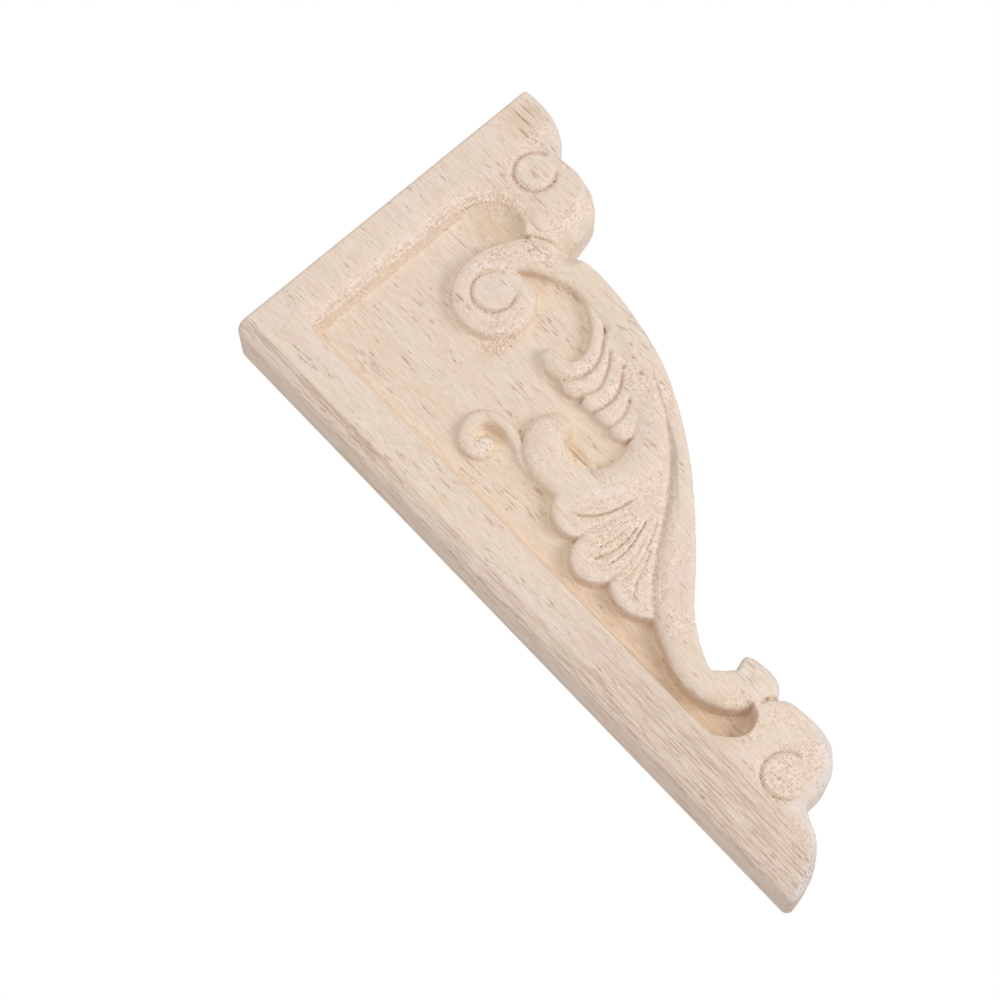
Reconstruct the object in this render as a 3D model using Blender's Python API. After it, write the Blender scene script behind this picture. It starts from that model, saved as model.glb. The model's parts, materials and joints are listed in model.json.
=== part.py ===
"""Wooden corner onlay: one board carved with a moulded border, a scroll and leaf fans.

Everything is drawn in millimetres on the board lying face up (x along the short side from
the right angled corner, y along the long side as minus values, h above the back), and the
finished piece is stood up in metres at the end: back on the plane y = 0, carving to -Y.
"""
import math

import bmesh
import bpy
from mathutils import Matrix, Vector

# Board
WIDTH = 58.0
HEIGHT = 115.0
THICKNESS = 8.0
EDGE_ROUND = 0.7
CORNER_ROUND = 1.7
TIP_ROUND = 0.75
HEEL_ROUND = 1.1

# Slope that runs down to the lower edge of the second lobe
SLOPE_WIDTH = 3.0
SLOPE_DROP = 2.4
SLOPE_START = (0.15, 0.4, 0.65, 0.85)

# Sunk ground inside the border
GROUND_TOP = 5.9
GROUND_FOOT = 5.0
FOOT_ROUND = 0.7
RAMP_WIDTH = 3.2
RAMP_DEPTH = 0.45
RAMP_LAP = 0.4
RAMP_START = (0.1, 0.7)
RAMP_FINISH = (0.8, 0.6, 0.35, 0.1)
BORDER = 8.4
RECESS_TOP = 7.8
CLEAR = 6.0

# Carved bands
CROWN = 0.64
CROWN_POWER = 2.5
CROWN_POINTS = 8
BAND_DEEP = 8.0
BAND_END = (30, 60, 84)
LEAF_BED = 6.52
SCROLL_BED = 7.1
BED_FOOT = 2.0
BAND_STEPS = 2
OUTLINE_STEPS = 3

# Bosses and their engraved rings
BOSS_CENTRE = (31.1, -21.3)
BOSS_RADIUS = 2.95
BOSS_TOP = 7.85
BOSS_DOME = 0.35
RING_DEPTH = 0.4
RING_TUBE = 0.55
RING_STEPS = 20
SCROLL_DISC = (30.9, -21.6, 3.7)
UPPER_RING = (49.35, -11.1, 3.2, 35, 325)
LOWER_RING = (11.9, -101.8, 3.3, 10, 230)

# Right hand and lower edge of the board: runs of curve between the notches
UPPER_LOBE = [(58, -0.8), (57.92, -3.4), (57.45, -6.8), (56, -9.8), (53.9, -12.1)]
SECOND_LOBE = [(53.9, -12.1), (54.1, -14.8), (53.75, -17.2), (53.25, -19.4), (52.4, -21.1),
               (50.8, -22.2), (48.1, -22.95), (44.4, -23.9)]
STEM_EDGE = [(44.4, -23.9), (45.05, -30.5), (44.1, -38.5), (41.3, -48.2), (34.8, -59.4),
             (26.35, -69.4), (18.8, -77), (15.2, -83.2), (15.75, -85), (17.5, -86.4)]
HOOK_EDGE = [(17.5, -86.4), (20, -86.1), (20.8, -89.5), (20.4, -91.9), (18.8, -93.5)]
THIRD_LOBE = [(18.8, -93.5), (19.9, -95.4), (20.1, -101.4), (18.45, -104.45), (15.6, -106.4),
              (11.1, -106.7)]
FOOT_LOBE = [(11.1, -106.7), (10, -108.6), (9.2, -110.4), (7.3, -112.4), (4.4, -114.25),
             (1.2, -115)]

# Edge of the sunk ground: the curved corner, the run beneath and outside the bands, the pocket
GROUND_CURVE = [(35.5, -7.8), (38.8, -8.4), (41.2, -9.9), (42.9, -12), (43.2, -13.9),
                (42.7, -15.6), (41.5, -17.4)]
GROUND_OUTSIDE = [(41.2, -18.6), (41.86, -19.19), (43.1, -21.25), (43.98, -23.5),
                  (44.2, -24.1), (46, -24.3), (52, -26), (52, -50), (26, -82), (20.5, -84.8),
                  (17.3, -86.9)]
GROUND_POCKET = [(15.7, -92), (14.8, -93.1), (13, -93.85), (11.4, -93.55), (9.8, -92.2),
                 (8.7, -90.3), (8.4, -87.5)]

# Bands as stations along the middle: across, up, half width, height of the crest
SCROLL = [(36, -20.9, .9, 6.9), (35.5, -22.7, 1.2, 7.2), (34.3, -25.2, 1.8, 7.6),
          (30.8, -26.8, 2.3, 7.9), (27.3, -25.6, 2.3, 8), (26.1, -22.2, 2, 8),
          (27.4, -18.6, 1.75, 8), (30, -16.8, 1.6, 8), (33.3, -16.6, 1.7, 8),
          (37.1, -18.3, 2.4, 8), (39.9, -20.7, 2.75, 8), (41.8, -24.4, 2.55, 8),
          (42.8, -29.8, 2.45, 8), (41.8, -38, 2.6, 8), (40.5, -42.8, 2.7, 8),
          (38.1, -47.5, 2.9, 7.9), (34.6, -52.4, 3.2, 7.8), (30, -55.3, 3.4, 7.7),
          (25, -55.4, 3.3, 7.7), (21, -53.6, 3.3, 7.7), (19.1, -49.8, 3, 7.8),
          (19.5, -45.6, 3.2, 7.9), (21.4, -43.2, 3.1, 8), (23.4, -42.95, 2.75, 7.8)]
TAIL = [(19.5, -90, 3.9, 7.8), (16.8, -89.3, 2.75, 7.9), (14.6, -87.9, 2.6, 8),
        (13.2, -85.3, 2.35, 8), (13.05, -82.3, 2.3, 8), (14.5, -78.8, 2.5, 8),
        (17.9, -73.2, 3, 8), (21.8, -69.7, 3.05, 8), (25.7, -66.6, 2.7, 8),
        (29.8, -63.1, 1.9, 7.9), (33.2, -59.6, 1.4, 7.8), (36.5, -55.7, 1.1, 7.7),
        (39.4, -51, .8, 7.6), (41.5, -46.4, .5, 7.4)]
CURL = [(18.1, -41.8, .9, 6.9), (18.9, -39.6, 1, 7.1), (19, -37.5, 1, 7.2),
        (18.3, -35.6, 1.05, 7.2), (16.8, -34.4, 1.15, 7.2), (15.1, -34.2, 1.2, 7.2),
        (13.8, -35, 1.4, 7.1), (13.3, -36.3, 1.6, 7.1), (13.6, -37.5, 1.7, 7),
        (14.4, -38.1, 1.6, 6.9)]
SMALL_LEAF = [
    [(31.1, -34.6, 1.5, 7.6), (30.9, -36.4, 1.6, 7.6), (31.5, -38, 1.6, 7.5),
     (33.2, -38.8, 1.4, 7.4), (35.2, -38.7, 1.3, 7.4), (37.2, -37.8, 1.2, 7.4),
     (39, -36.4, 1.1, 7.5), (40.3, -34.6, .9, 7.5), (40.9, -32.4, .6, 7.4)],
    [(30.2, -40.5, 1.25, 7), (32.6, -41.3, 1.2, 7.2), (34.9, -41.1, 1.1, 7.3),
     (37.1, -40.3, 1, 7.4), (38.8, -38.9, .8, 7.5)],
    [(30.7, -43.8, 1.35, 7.1), (33.1, -44, 1.35, 7.2), (35.2, -43.4, 1.2, 7.3),
     (37, -42.2, 1, 7.4), (38.5, -40.6, .7, 7.5)],
    [(30.6, -46.7, 1.2, 7), (32.7, -46.8, 1.2, 7.2), (34.7, -46.1, 1.1, 7.3),
     (36.5, -44.9, .9, 7.4), (38, -43.4, .6, 7.5)],
    [(30.8, -49.6, 1.6, 7.1), (32.6, -49.3, 1.5, 7.2), (34.5, -48.3, 1.1, 7.3),
     (36.3, -46.9, .8, 7.4)]]
LARGE_LEAF = [
    [(16, -52, 1.3, 7.4), (15.4, -54.4, 1.65, 7.5), (16.5, -56.6, 1.5, 7.5),
     (19, -58.1, 1.1, 7.4), (23, -59.2, .8, 7.3), (28, -59.4, .6, 7.2)],
    [(13.2, -60.7, 2.25, 7.3), (17, -60.5, 1.9, 7.5), (22, -60.7, 1.2, 7.4),
     (30, -59.3, .6, 7.2)],
    [(13.4, -63.1, 1.85, 7.2), (17, -63.5, 1.7, 7.4), (22, -62.7, 1.2, 7.4),
     (30, -60, .6, 7.2)],
    [(15, -69.2, 2.85, 7.3), (15.8, -67.6, 2.6, 7.4), (18, -66.3, 1.9, 7.4),
     (21.5, -64.9, 1.3, 7.4), (26, -62.7, .9, 7.3), (30.5, -60.2, .6, 7.2)]]
SMALL_BED = [(30.6, -36), (30.2, -39), (29.9, -42.2), (29.8, -45.4), (30, -50.6), (32, -51.2),
             (38, -45.5), (40.6, -40), (40.9, -35), (38.8, -36.2), (35, -38.5), (32, -37.8)]
LARGE_BED = [(15.6, -52.5), (14.6, -55.5), (13.7, -60), (13.6, -64.9), (14, -69), (15.4, -71),
             (22, -68), (31, -61.5), (38, -52), (33, -53.5), (28, -55.5), (20, -55)]


def clear_scene():
    for obj in list(bpy.data.objects):
        bpy.data.objects.remove(obj, do_unlink=True)


def spline(stations, steps):
    """Smooth run through the stations, whatever number of values each one has."""
    pts = [Vector(s) for s in stations]
    pts = [2 * pts[0] - pts[1]] + pts + [2 * pts[-1] - pts[-2]]
    run = []
    for a, b, c, d in zip(pts, pts[1:], pts[2:], pts[3:]):
        for k in range(steps):
            t = k / steps
            run.append(0.5 * (2 * b + (c - a) * t + (2 * a - 5 * b + 4 * c - d) * t ** 2
                              + (3 * b - 3 * c + d - a) * t ** 3))
    return run + [pts[-2]]


def arc(cx, cy, radius, start, end, steps):
    angles = [math.radians(start + (end - start) * k / steps) for k in range(steps + 1)]
    return [Vector((cx + radius * math.cos(a), cy + radius * math.sin(a))) for a in angles]


def outline():
    """Clockwise edge of the board, from the right angled corner."""
    pts = arc(CORNER_ROUND, -CORNER_ROUND, CORNER_ROUND, 180, 90, 4)
    pts += arc(WIDTH - TIP_ROUND, -TIP_ROUND, TIP_ROUND, 90, 30, 2)
    for run in (UPPER_LOBE, SECOND_LOBE, STEM_EDGE, HOOK_EDGE, THIRD_LOBE, FOOT_LOBE):
        pts += spline(run, OUTLINE_STEPS)[1 if run is not UPPER_LOBE else 0:]
    pts += arc(HEEL_ROUND, HEEL_ROUND - HEIGHT, HEEL_ROUND, 250, 180, 2)
    return pts


def ground_edge():
    """Edge of the sunk ground: follows the border, then swings clear of the open side."""
    pts = [Vector((BORDER, -RECESS_TOP))]
    pts += spline(GROUND_CURVE, OUTLINE_STEPS)
    pts += [Vector(p) for p in GROUND_OUTSIDE]
    pts += spline(GROUND_POCKET, OUTLINE_STEPS)
    return pts


def to_mesh(obj):
    """Plain mesh object in place of a curve object, with its caps welded on."""
    bpy.context.scene.collection.objects.link(obj)
    bpy.context.view_layer.update()
    deps = bpy.context.evaluated_depsgraph_get()
    mesh = bpy.data.meshes.new_from_object(obj.evaluated_get(deps))
    mesh.transform(obj.matrix_world)
    bm = bmesh.new()
    bm.from_mesh(mesh)
    bmesh.ops.remove_doubles(bm, verts=bm.verts, dist=0.0005)
    bmesh.ops.recalc_face_normals(bm, faces=bm.faces)
    bm.to_mesh(mesh)
    bm.free()
    out = bpy.data.objects.new(obj.name + "_solid", mesh)
    bpy.context.scene.collection.objects.link(out)
    bpy.data.objects.remove(obj, do_unlink=True)
    return out


def prism(name, pts, low, high):
    curve = bpy.data.curves.new(name, "CURVE")
    curve.dimensions = "2D"
    curve.fill_mode = "BOTH"
    curve.extrude = (high - low) / 2
    run = curve.splines.new("POLY")
    run.points.add(len(pts) - 1)
    for point, p in zip(run.points, pts):
        point.co = (p[0], p[1], 0, 1)
    run.use_cyclic_u = True
    obj = bpy.data.objects.new(name, curve)
    obj.location.z = (high + low) / 2
    return to_mesh(obj)


def soften(obj, at_height, offset, segments):
    """Round the rim of a prism's flat end that lies at the given height."""
    bm = bmesh.new()
    bm.from_mesh(obj.data)
    flat = [f for f in bm.faces if all(abs(v.co.z - at_height) < 1e-3 for v in f.verts)]
    end = bmesh.ops.dissolve_faces(bm, faces=flat, use_verts=False)["region"]
    rim = [e for f in end for e in f.edges]
    bmesh.ops.bevel(bm, geom=rim, offset=offset, segments=segments, profile=0.5,
                    affect="EDGES", clamp_overlap=False)
    bm.to_mesh(obj.data)
    bm.free()


def section_curve(name, pts):
    """Closed flat section for a sweep: x to the right of the way, y up."""
    curve = bpy.data.curves.new(name, "CURVE")
    curve.dimensions = "2D"
    run = curve.splines.new("POLY")
    run.points.add(len(pts) - 1)
    for point, p in zip(run.points, pts):
        point.co = (p[0], p[1], 0, 1)
    run.use_cyclic_u = True
    obj = bpy.data.objects.new(name, curve)
    bpy.context.scene.collection.objects.link(obj)
    return obj


def band_section():
    """Section shared by all bands, one unit to each side: flat crown, upright sides."""
    crown = []
    for k in range(CROWN_POINTS + 1):
        s = -math.cos(math.pi * k / CROWN_POINTS)
        crown.append((s, CROWN * (1 - abs(s) ** CROWN_POWER) ** (1 / CROWN_POWER)))
    return section_curve("band_section", crown + [(1, -BAND_DEEP), (-1, -BAND_DEEP)])


def swept(name, centre, radius, section):
    """Section carried along the centre points, scaled by the radius at each."""
    curve = bpy.data.curves.new(name, "CURVE")
    curve.dimensions = "3D"
    curve.twist_mode = "Z_UP"
    curve.bevel_mode = "OBJECT"
    curve.bevel_object = section
    curve.use_fill_caps = True
    path = curve.splines.new("POLY")
    path.points.add(len(centre) - 1)
    for point, co, r in zip(path.points, centre, radius):
        point.co = (co.x, co.y, co.z, 1)
        point.radius = r
    return to_mesh(bpy.data.objects.new(name, curve))


def band(name, stations, section):
    """Carved band of changing width along its stations, round at both ends."""
    run = spline(stations, BAND_STEPS)
    centre = [Vector((p[0], p[1], p[3] - CROWN * p[2])) for p in run]
    radius = [p[2] for p in run]
    first, last = centre[0], centre[-1]
    out = (first - centre[1]).normalized() * radius[0]
    on = (last - centre[-2]).normalized() * radius[-1]
    ends = (radius[0], radius[-1])
    for degrees in BAND_END:
        a = math.radians(degrees)
        centre.insert(0, first + out * math.sin(a))
        radius.insert(0, ends[0] * math.cos(a))
        centre.append(last + on * math.sin(a))
        radius.append(ends[1] * math.cos(a))
    return swept(name, centre, radius, section)


def groove(name, cx, cy, radius, start, end):
    """Engraved ring on the face: a thin tube sunk a little into it."""
    pts = arc(cx, cy, radius, start, end, RING_STEPS)
    curve = bpy.data.curves.new(name, "CURVE")
    curve.dimensions = "3D"
    curve.bevel_depth = RING_TUBE
    curve.bevel_resolution = 1
    curve.use_fill_caps = True
    path = curve.splines.new("POLY")
    path.points.add(len(pts) - 1)
    for point, p in zip(path.points, pts):
        point.co = (p.x, p.y, THICKNESS + RING_TUBE - RING_DEPTH, 1)
    return to_mesh(bpy.data.objects.new(name, curve))


def boss():
    bpy.ops.mesh.primitive_uv_sphere_add(segments=24, ring_count=12, radius=BOSS_RADIUS)
    obj = bpy.context.object
    obj.name = "boss_solid"
    obj.data.transform(Matrix.Diagonal((1, 1, BOSS_DOME, 1)))
    obj.data.transform(Matrix.Translation((*BOSS_CENTRE, BOSS_TOP - BOSS_RADIUS * BOSS_DOME)))
    return obj


def ramp():
    """Gentle slope of the top border towards the ground, fading out at both ends."""
    section = section_curve("ramp_section", [(-RAMP_WIDTH, 0.1), (RAMP_LAP, -RAMP_DEPTH),
                                             (RAMP_LAP, 2), (-RAMP_WIDTH, 2)])
    start = Vector((BORDER, -RECESS_TOP))
    run = [start, start + Vector((2, 0)), start + Vector((5, 0))]
    run += spline(GROUND_CURVE, OUTLINE_STEPS)
    radius = [1.0] * len(run)
    radius[:len(RAMP_START)] = RAMP_START
    radius[-len(RAMP_FINISH):] = RAMP_FINISH
    obj = swept("ramp", [Vector((p.x, p.y, THICKNESS)) for p in run], radius, section)
    bpy.data.objects.remove(section, do_unlink=True)
    return obj


def lobe_slope():
    """Cutter that slopes down to the lower edge of the second lobe, fading in."""
    steep = SLOPE_DROP / SLOPE_WIDTH
    section = section_curve("slope_section", [(-1, -SLOPE_DROP - steep), (SLOPE_WIDTH, 0),
                                              (SLOPE_WIDTH, 2), (-1, 2)])
    run = spline(SECOND_LOBE[3:], OUTLINE_STEPS)
    run.append(2 * run[-1] - run[-3])
    radius = [1.0] * len(run)
    radius[:len(SLOPE_START)] = SLOPE_START
    obj = swept("slope", [Vector((p.x, p.y, THICKNESS)) for p in run], radius, section)
    bpy.data.objects.remove(section, do_unlink=True)
    return obj


def combine(target, tool, operation):
    mod = target.modifiers.new(operation.lower(), "BOOLEAN")
    mod.operation = operation
    mod.solver = "EXACT"
    mod.object = tool
    mod.use_self = True
    bpy.context.view_layer.update()
    deps = bpy.context.evaluated_depsgraph_get()
    mesh = bpy.data.meshes.new_from_object(target.evaluated_get(deps))
    target.modifiers.remove(mod)
    target.data = mesh
    bpy.data.objects.remove(tool, do_unlink=True)


def waste():
    """Everything taken out around the bands: the sunk ground less what stands in it."""
    cutter = prism("waste", ground_edge(), GROUND_FOOT, THICKNESS + CLEAR)
    soften(cutter, GROUND_FOOT, FOOT_ROUND, 2)
    slope = (GROUND_TOP - GROUND_FOOT) / (GROUND_POCKET[2][1] + RECESS_TOP)
    for v in cutter.data.vertices:
        if v.co.z < THICKNESS:
            v.co.z += GROUND_TOP - GROUND_FOOT - slope * (v.co.y + RECESS_TOP)
    combine(cutter, lobe_slope(), "UNION")
    section = band_section()
    runs = [SCROLL, TAIL, CURL] + SMALL_LEAF + LARGE_LEAF
    for k, run in enumerate(runs):
        combine(cutter, band("band_%d" % k, run, section), "DIFFERENCE")
    for k, bed in enumerate((SMALL_BED, LARGE_BED)):
        combine(cutter, prism("bed_%d" % k, bed, BED_FOOT, LEAF_BED), "DIFFERENCE")
    disc = prism("scroll_bed", arc(*SCROLL_DISC, 0, 345, 23), BED_FOOT, SCROLL_BED)
    combine(cutter, disc, "DIFFERENCE")
    combine(cutter, boss(), "DIFFERENCE")
    bpy.data.objects.remove(section, do_unlink=True)
    return cutter


def wood(name):
    mat = bpy.data.materials.new(name)
    mat.use_nodes = True
    shader = mat.node_tree.nodes["Principled BSDF"]
    shader.inputs["Base Color"].default_value = (0.79, 0.67, 0.56, 1)
    shader.inputs["Roughness"].default_value = 0.62
    return mat


def stand_up(obj):
    """Turn the board upright in metres and give every vertex its final place."""
    place = Matrix(((1, 0, 0, -WIDTH / 2), (0, 0, -1, 0), (0, 1, 0, HEIGHT / 2), (0, 0, 0, 1)))
    obj.data.transform(Matrix.Scale(0.001, 4) @ place)


def clean(obj):
    bm = bmesh.new()
    bm.from_mesh(obj.data)
    bmesh.ops.remove_doubles(bm, verts=bm.verts, dist=0.01)
    bmesh.ops.dissolve_degenerate(bm, edges=bm.edges, dist=0.01)
    stray = [e for e in bm.edges if not e.link_faces]
    bmesh.ops.delete(bm, geom=stray, context="EDGES")
    bmesh.ops.triangulate(bm, faces=bm.faces)
    bmesh.ops.recalc_face_normals(bm, faces=bm.faces)
    bm.to_mesh(obj.data)
    bm.free()


def build():
    clear_scene()
    onlay = prism("corner_onlay", outline(), 0, THICKNESS)
    soften(onlay, THICKNESS, EDGE_ROUND, 2)
    combine(onlay, waste(), "DIFFERENCE")
    combine(onlay, ramp(), "DIFFERENCE")
    combine(onlay, groove("upper_ring", *UPPER_RING), "DIFFERENCE")
    combine(onlay, groove("lower_ring", *LOWER_RING), "DIFFERENCE")
    clean(onlay)
    stand_up(onlay)
    onlay.name = "corner_onlay"
    onlay.data.name = "corner_onlay"
    onlay.data.materials.clear()
    onlay.data.materials.append(wood("pale_wood"))
    home = bpy.data.collections.new("corner_onlay")
    bpy.context.scene.collection.children.link(home)
    for held in list(onlay.users_collection):
        held.objects.unlink(onlay)
    home.objects.link(onlay)
    return onlay


build()
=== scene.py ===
# %% [markdown]
# # A carved corner onlay
# The object is one thin board of pale rubberwood, 58 mm by 115 mm, with a flat back. A
# cutter has sunk the ground inside a plain border and left a scroll, two leaf fans and a
# small curl standing. A machine tool that moves up and down over a flat board can only
# leave one height at each place, so the lesson builds the carving the same way: as a
# height for every point of the face, then a wall round the edge and a flat back.

# %%
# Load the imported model
import json
import math
import bpy
import numpy as np
from mathutils import Matrix, Vector, kdtree, noise
from mathutils.geometry import delaunay_2d_cdt

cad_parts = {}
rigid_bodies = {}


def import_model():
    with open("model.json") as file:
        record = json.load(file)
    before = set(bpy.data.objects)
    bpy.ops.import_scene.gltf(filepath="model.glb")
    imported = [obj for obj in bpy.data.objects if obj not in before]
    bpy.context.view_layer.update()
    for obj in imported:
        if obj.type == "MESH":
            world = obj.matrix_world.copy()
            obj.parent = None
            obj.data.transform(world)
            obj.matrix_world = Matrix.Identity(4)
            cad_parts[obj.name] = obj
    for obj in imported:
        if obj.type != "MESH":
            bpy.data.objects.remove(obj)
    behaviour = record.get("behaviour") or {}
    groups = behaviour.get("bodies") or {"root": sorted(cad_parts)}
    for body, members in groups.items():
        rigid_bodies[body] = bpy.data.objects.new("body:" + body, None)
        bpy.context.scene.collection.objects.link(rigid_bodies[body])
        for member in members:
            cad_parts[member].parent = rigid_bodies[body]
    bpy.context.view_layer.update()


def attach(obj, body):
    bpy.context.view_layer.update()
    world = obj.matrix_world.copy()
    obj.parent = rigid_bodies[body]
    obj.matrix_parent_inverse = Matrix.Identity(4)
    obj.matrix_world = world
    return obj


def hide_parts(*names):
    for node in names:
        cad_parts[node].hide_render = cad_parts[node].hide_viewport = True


for leftover in list(bpy.data.objects):
    bpy.data.objects.remove(leftover, do_unlink=True)
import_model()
WIDTH, THICK, TALL = 58.0, 8.0, 115.0


# %% [markdown]
# ## Board millimetres
# Carvers measure from the corner of the board, so the tables below are in millimetres:
# x along the short side, y down the long side as minus values, h up from the back. One
# helper turns them into the model's metres, where the onlay stands upright with its
# carving towards -Y.

# %%
# From board millimetres to the model
def stand_up(pts):
    p = np.asarray(pts, float)
    return np.stack([p[:, 0] - WIDTH / 2, -p[:, 2], p[:, 1] + TALL / 2], 1) * 0.001


def spline(stations, steps):
    p = np.asarray(stations, float)
    p = np.vstack([2 * p[0] - p[1], p, 2 * p[-1] - p[-2]])
    t = (np.arange(steps) / steps)[:, None]
    run = [0.5 * (2 * b + (c - a) * t + (2 * a - 5 * b + 4 * c - d) * t**2
                  + (3 * b - 3 * c + d - a) * t**3)
           for a, b, c, d in zip(p, p[1:], p[2:], p[3:])]
    return np.vstack(run + [p[-2:-1]])


def arc(cx, cy, r, start, end, steps):
    a = np.radians(np.linspace(start, end, steps + 1))
    return np.stack([cx + r * np.cos(a), cy + r * np.sin(a)], 1)


# %% [markdown]
# ## The outline
# Two straight sides meet at the corner. The open side is a row of lobes, then the long
# sweep of the stem, a hook, and two more lobes. Each run between two notches is one smooth
# spline, so the notches stay crisp. The sweep crosses the grain, and there the real edge
# has lost small fibres, so the line is nibbled a little.

# %%
# Draw the outline
LOBES = [
    [(57.95, -0.7), (58, -3.4), (57.45, -6.8), (56, -9.8), (53.9, -12.1)],
    [(53.9, -12.1), (54.1, -14.8), (53.75, -17.2), (53.25, -19.4), (52.4, -21.1),
     (50.8, -22.2), (48.1, -22.95), (44.4, -23.9)],
    [(44.4, -23.9), (45.05, -30.5), (44.1, -38.5), (41.3, -48.2), (34.8, -59.4),
     (26.35, -69.4), (18.8, -77), (15.2, -83.2), (15.75, -85), (17.5, -86.4)],
    [(17.5, -86.4), (20, -86.1), (20.8, -89.5), (20.4, -91.9), (18.8, -93.5)],
    [(18.8, -93.5), (19.9, -95.4), (20.1, -101.4), (18.45, -104.45), (15.6, -106.4),
     (11.1, -106.7)],
    [(11.1, -106.7), (10, -108.6), (9.2, -110.4), (7.3, -112.4), (4.4, -114.25),
     (1.2, -115)]]
CORNER, TIP, FOOT = 1.7, 0.75, 1.1


def even(pts, gap):
    """The same line with its points spread evenly, about a gap apart."""
    run = np.concatenate([[0], np.cumsum(np.hypot(*np.diff(pts, axis=0).T))])
    n = max(2, int(round(run[-1] / gap)))
    at = np.linspace(0, run[-1], n + 1)
    return np.stack([np.interp(at, run, pts[:, k]) for k in (0, 1)], 1)


def outline(gap):
    runs = [arc(CORNER, -CORNER, CORNER, 180, 90, 8), np.array([(CORNER, 0), (WIDTH - TIP, 0)]),
            arc(WIDTH - TIP, -TIP, TIP, 90, 10, 5)]
    runs += [spline(r, 10) for r in LOBES]
    runs += [arc(FOOT, FOOT - TALL, FOOT, 262, 180, 6),
             np.array([(0, FOOT - TALL), (0, -CORNER)])]
    ring = np.vstack([even(r, gap)[:-1] for r in runs])
    for p in ring:
        rough = max(0, min(1, (p[0] - 14) / 3)) if -84 < p[1] < -46 else 0
        chip = noise.noise(Vector((p[0] * 1.9, p[1] * 1.9, 3.7)))
        chip = max(0, chip - 0.12) * 0.35 * rough + 0.03 * abs(noise.noise(Vector((*p, 0))))
        p -= chip * np.array([0.77, -0.64])
    ring[:, 0] = ring[:, 0].clip(0, WIDTH)
    ring[:, 1] = ring[:, 1].clip(-TALL, 0)
    return ring


RING = outline(0.3)
print("outline points:", len(RING), "from", RING.min(0), "to", RING.max(0))


# %% [markdown]
# ## Distances
# Most carving is a matter of how far a point lies from a line: from the edge of the board,
# from the rim of the ground, from the middle of a band. These helpers give that distance
# for thousands of points at once, and whether a point lies inside a closed line.

# %%
# Distance to a line, and inside or outside
def segments(p, a, b):
    """How far each point is along every segment, 0 to 1, and the distance across."""
    ab = b - a
    t = ((p[:, None] - a) * ab).sum(2) / np.maximum((ab**2).sum(1), 1e-12)
    t = t.clip(0, 1)
    gap = p[:, None] - (a + t[..., None] * ab)
    return t, gap, np.hypot(gap[..., 0], gap[..., 1])


def chunks(p, fn, size=4000):
    out = [fn(p[k:k + size]) for k in range(0, len(p), size)]
    return np.concatenate(out) if out else np.zeros(0)


def distance(p, line, closed=False):
    a = np.asarray(line, float)
    b = np.roll(a, -1, 0) if closed else a[1:]
    a = a if closed else a[:-1]
    return chunks(p, lambda q: segments(q, a, b)[2].min(1))


def inside(p, ring):
    a, b = ring, np.roll(ring, -1, 0)

    def count(q):
        x, y = q[:, 0, None], q[:, 1, None]
        cross = (a[:, 1] > y) != (b[:, 1] > y)
        dy = np.where(b[:, 1] == a[:, 1], 1e-12, b[:, 1] - a[:, 1])
        return ((x < a[:, 0] + (y - a[:, 1]) / dy * (b[:, 0] - a[:, 0])) & cross).sum(1) % 2
    return chunks(p, count) > 0.5


def inside_rows(rows, columns, ring):
    """The same for a whole grid, one row of points at a time."""
    out = np.zeros((len(rows), len(columns)), bool)
    a, b = ring, np.roll(ring, -1, 0)
    for k, y in enumerate(rows):
        hit = (a[:, 1] > y) != (b[:, 1] > y)
        x = a[hit, 0] + (y - a[hit, 1]) / (b[hit, 1] - a[hit, 1]) * (b[hit, 0] - a[hit, 0])
        out[k] = np.searchsorted(np.sort(x), columns) % 2 == 1
    return out


def edge_distance(p, ring):
    """Distance to a long, evenly spaced ring, by its nearest points."""
    tree = kdtree.KDTree(len(ring))
    for k, q in enumerate(ring):
        tree.insert((q[0], q[1], 0), k)
    tree.balance()
    near = np.array([tree.find((x, y, 0))[1] for x, y in p])
    best = np.full(len(p), 1e9)
    for shift in (-1, 0):
        a, b = ring[(near + shift) % len(ring)], ring[(near + shift + 1) % len(ring)]
        ab = b - a
        t = (((p - a) * ab).sum(1) / np.maximum((ab**2).sum(1), 1e-12)).clip(0, 1)
        best = np.minimum(best, np.hypot(*(p - a - t[:, None] * ab).T))
    return best


def step(x):
    x = np.clip(x, 0, 1)
    return x * x * (3 - 2 * x)


def higher(a, b, soft):
    """The higher of two surfaces, with a small fillet where they meet."""
    h = np.clip(soft - np.abs(a - b), 0, None) / soft
    return np.maximum(a, b) + h * h * soft / 4


# %% [markdown]
# ## The ground
# Inside the border the wood is sunk by 2 to 3 mm, a little deeper towards the foot. The
# wall round it is a hollow curve, as a ball shaped cutter leaves it: steep round the
# pocket at the foot, softer along the sides, and a wide cove in the upper corner. Above the
# top rim the border slopes down gently, where the cutter has left dotted marks.

# %%
# The rim of the ground
RIM_CURVE = [(35.5, -7.8), (38.8, -8.4), (41.2, -9.9), (42.9, -12), (43.2, -13.9),
             (42.7, -15.6), (41.5, -17.4)]
POCKET = [(15.4, -92), (14.8, -93.1), (13, -93.85), (11.4, -93.55), (9.8, -92.2),
          (8.7, -90.3), (8.4, -87.5)]
UNDER_BANDS = [(41, -19), (42.2, -24), (42.6, -30), (42, -38), (40, -46), (34, -57), (24, -68),
               (15, -78), (13, -83), (15, -88.5)]
RIM = np.vstack([[(8.4, -7.8)], spline(RIM_CURVE, 6), UNDER_BANDS, spline(POCKET, 6)])
RAMP_LINE = np.vstack([[(8.4, -7.8)], spline(RIM_CURVE, 6)])
GROUND_LEVEL, GROUND_FALL, FOOT_FALL, RAMP_FALL = 5.9, 0.9, 0.35, 0.5
RAMP_WIDTH, WALL_CURVE, FACE_GAP = 3.6, 1.9, 0.03


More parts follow.
